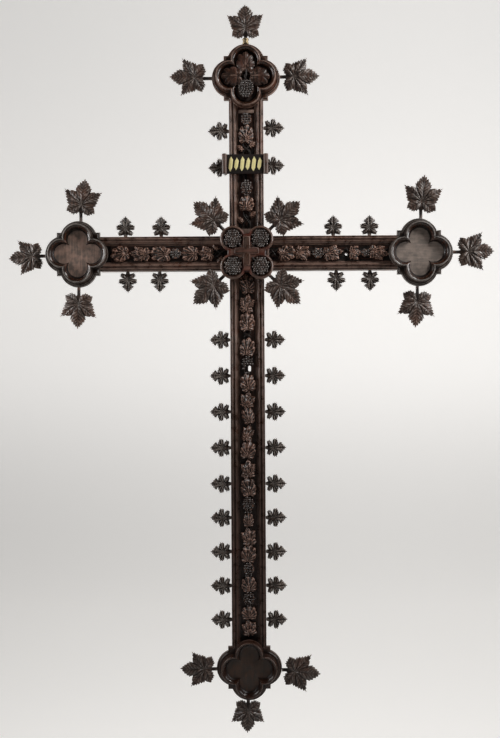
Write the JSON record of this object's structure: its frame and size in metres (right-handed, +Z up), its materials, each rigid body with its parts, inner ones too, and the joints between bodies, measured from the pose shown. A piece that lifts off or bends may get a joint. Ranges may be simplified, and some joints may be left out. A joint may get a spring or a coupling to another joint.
{
  "type": "carved wooden wall cross",
  "caption": "Tall carved oak wall cross with moulded beams, vine trails, quatrefoil ends, a grape boss, a title board and vine leaves on stems.",
  "frame": {"origin": "on the wall plane at the back of the crossbar, behind the middle of the crossing", "axes": "+Z up along the upright, +Y into the wall, so the carved front faces -Y; +X to the right seen from the front"},
  "size_m": [1.2704, 0.054, 1.9047],
  "materials": {
    "beam_oak": "dark stained and varnished, worn red-brown on the mouldings",
    "end_oak": "dark stained, satin, greyer on the flat floors of the trays",
    "carved_oak": "dark stained, semi-gloss on the high points",
    "leaf_oak": "dark stained, satin, greyish where worn",
    "title_oak": "dark stained board with gilded strokes",
    "collar_brass": "dull, darkened brass"
  },
  "bodies": {
    "root": {"upright": "beam_oak", "crossbar": "beam_oak", "quatrefoil_top": "end_oak", "quatrefoil_right": "end_oak", "quatrefoil_bottom": "end_oak", "quatrefoil_left": "end_oak", "quatrefoil_top_carving": "carved_oak", "crossing_boss": "carved_oak", "vine_trail_top": "carved_oak", "vine_trail_right": "carved_oak", "vine_trail_bottom": "carved_oak", "vine_trail_left": "carved_oak", "title_scroll": "title_oak", "brass_collar": "collar_brass", "leaf_top_up": "leaf_oak", "leaf_top_left": "leaf_oak", "leaf_top_right": "leaf_oak", "leaf_right_up": "leaf_oak", "leaf_right_right": "leaf_oak", "leaf_right_down": "leaf_oak", "leaf_bottom_left": "leaf_oak", "leaf_bottom_right": "leaf_oak", "leaf_bottom_down": "leaf_oak", "leaf_left_up": "leaf_oak", "leaf_left_left": "leaf_oak", "leaf_left_down": "leaf_oak", "leaf_crossing_upper_right": "leaf_oak", "leaf_crossing_lower_right": "leaf_oak", "leaf_crossing_lower_left": "leaf_oak", "leaf_crossing_upper_left": "leaf_oak", "crocket_upper_left_1": "leaf_oak", "crocket_upper_left_2": "leaf_oak", "crocket_shaft_left_1": "leaf_oak", "crocket_shaft_left_2": "leaf_oak", "crocket_shaft_left_3": "leaf_oak", "crocket_shaft_left_4": "leaf_oak", "crocket_shaft_left_5": "leaf_oak", "crocket_shaft_left_6": "leaf_oak", "crocket_shaft_left_7": "leaf_oak", "crocket_shaft_left_8": "leaf_oak", "crocket_shaft_left_9": "leaf_oak", "crocket_left_arm_up_1": "leaf_oak", "crocket_left_arm_up_2": "leaf_oak", "crocket_left_arm_down_1": "leaf_oak", "crocket_left_arm_down_2": "leaf_oak", "crocket_upper_right_1": "leaf_oak", "crocket_upper_right_2": "leaf_oak", "crocket_shaft_right_1": "leaf_oak", "crocket_shaft_right_2": "leaf_oak", "crocket_shaft_right_3": "leaf_oak", "crocket_shaft_right_4": "leaf_oak", "crocket_shaft_right_5": "leaf_oak", "crocket_shaft_right_6": "leaf_oak", "crocket_shaft_right_7": "leaf_oak", "crocket_shaft_right_8": "leaf_oak", "crocket_shaft_right_9": "leaf_oak", "crocket_right_arm_up_1": "leaf_oak", "crocket_right_arm_up_2": "leaf_oak", "crocket_right_arm_down_1": "leaf_oak", "crocket_right_arm_down_2": "leaf_oak"}
  },
  "joints": []
}
